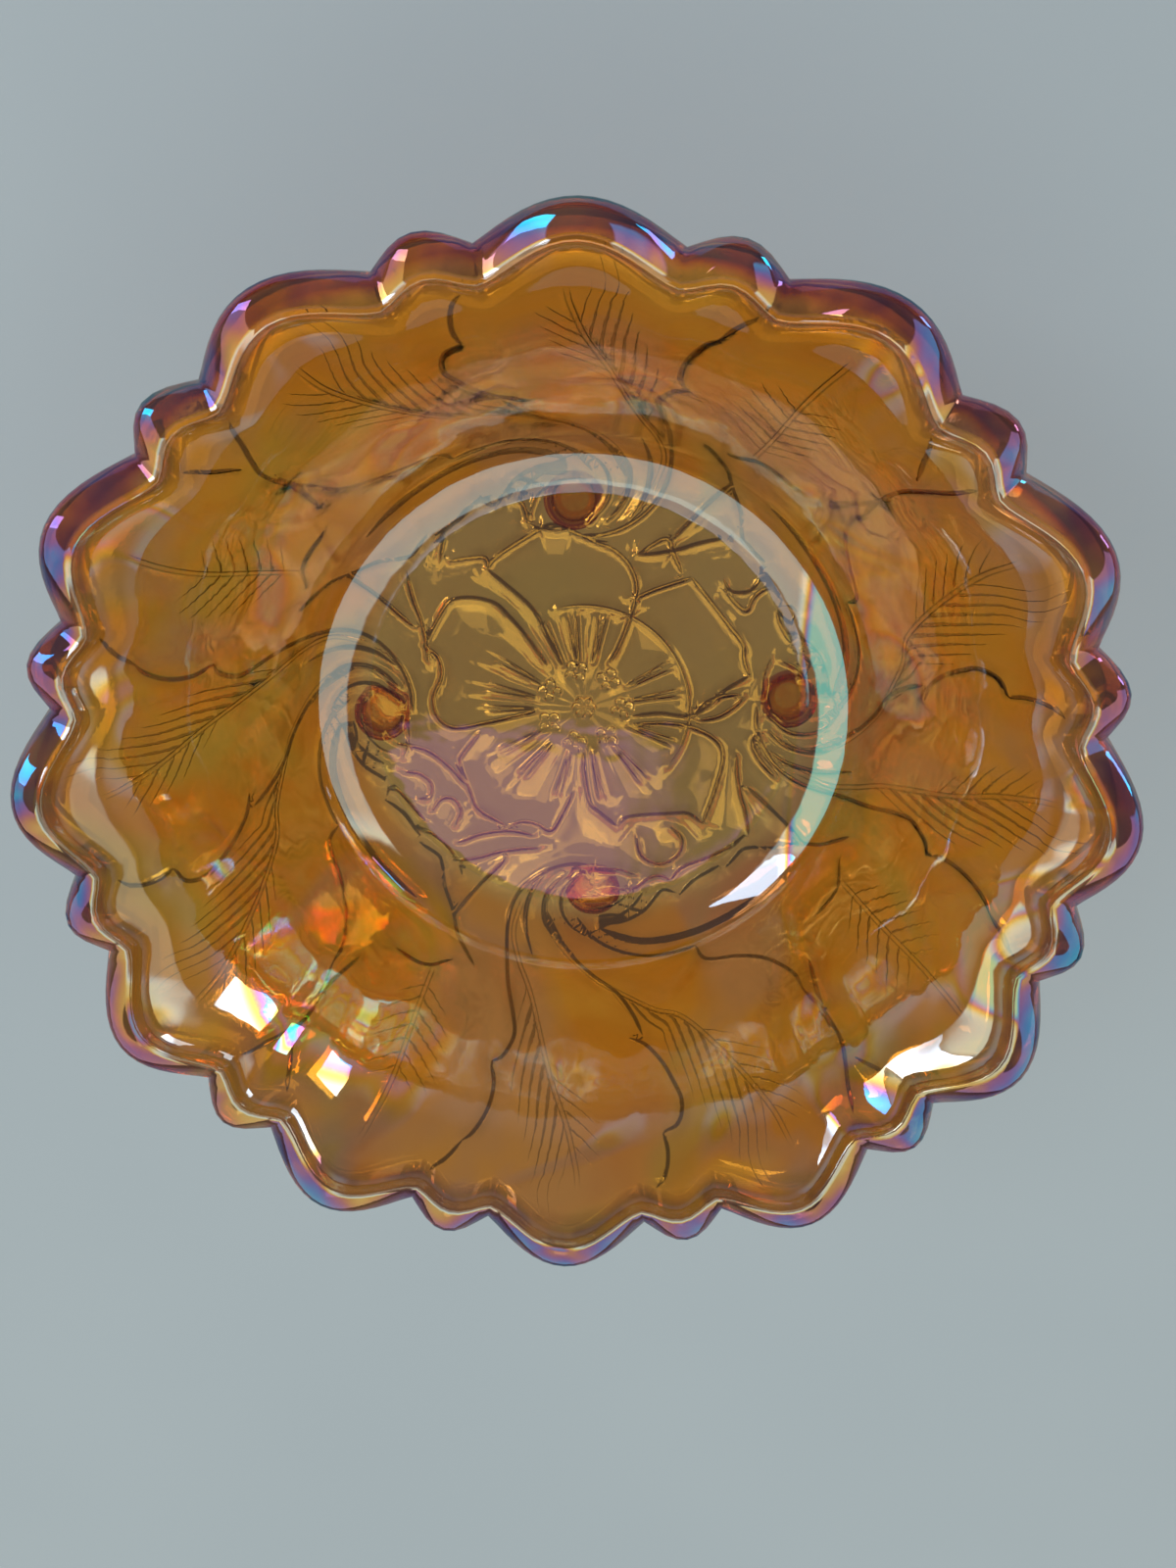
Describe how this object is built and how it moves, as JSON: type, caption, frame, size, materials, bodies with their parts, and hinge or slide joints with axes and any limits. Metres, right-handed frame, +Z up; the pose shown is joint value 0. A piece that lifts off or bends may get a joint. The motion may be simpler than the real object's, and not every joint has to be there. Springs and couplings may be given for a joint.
{
  "type": "footed glass bowl",
  "caption": "Shallow flared bowl of iridescent amber pressed glass with a thick scalloped rim and small ball feet under a flat floor.",
  "frame": {"origin": "middle of the circle of feet, on the surface they stand on", "axes": "+Z up out of the bowl's mouth; +X and +Y through the peaks of two large scallops"},
  "size_m": [0.292, 0.292, 0.1086],
  "materials": {
    "bowl_glass": "smooth iridescent amber glass with pressed relief outside",
    "foot_glass": "smooth deep amber glass with an iridescent skin"
  },
  "bodies": {
    "root": {"bowl": "bowl_glass", "foot_1": "foot_glass", "foot_2": "foot_glass", "foot_3": "foot_glass", "foot_4": "foot_glass"}
  },
  "joints": []
}
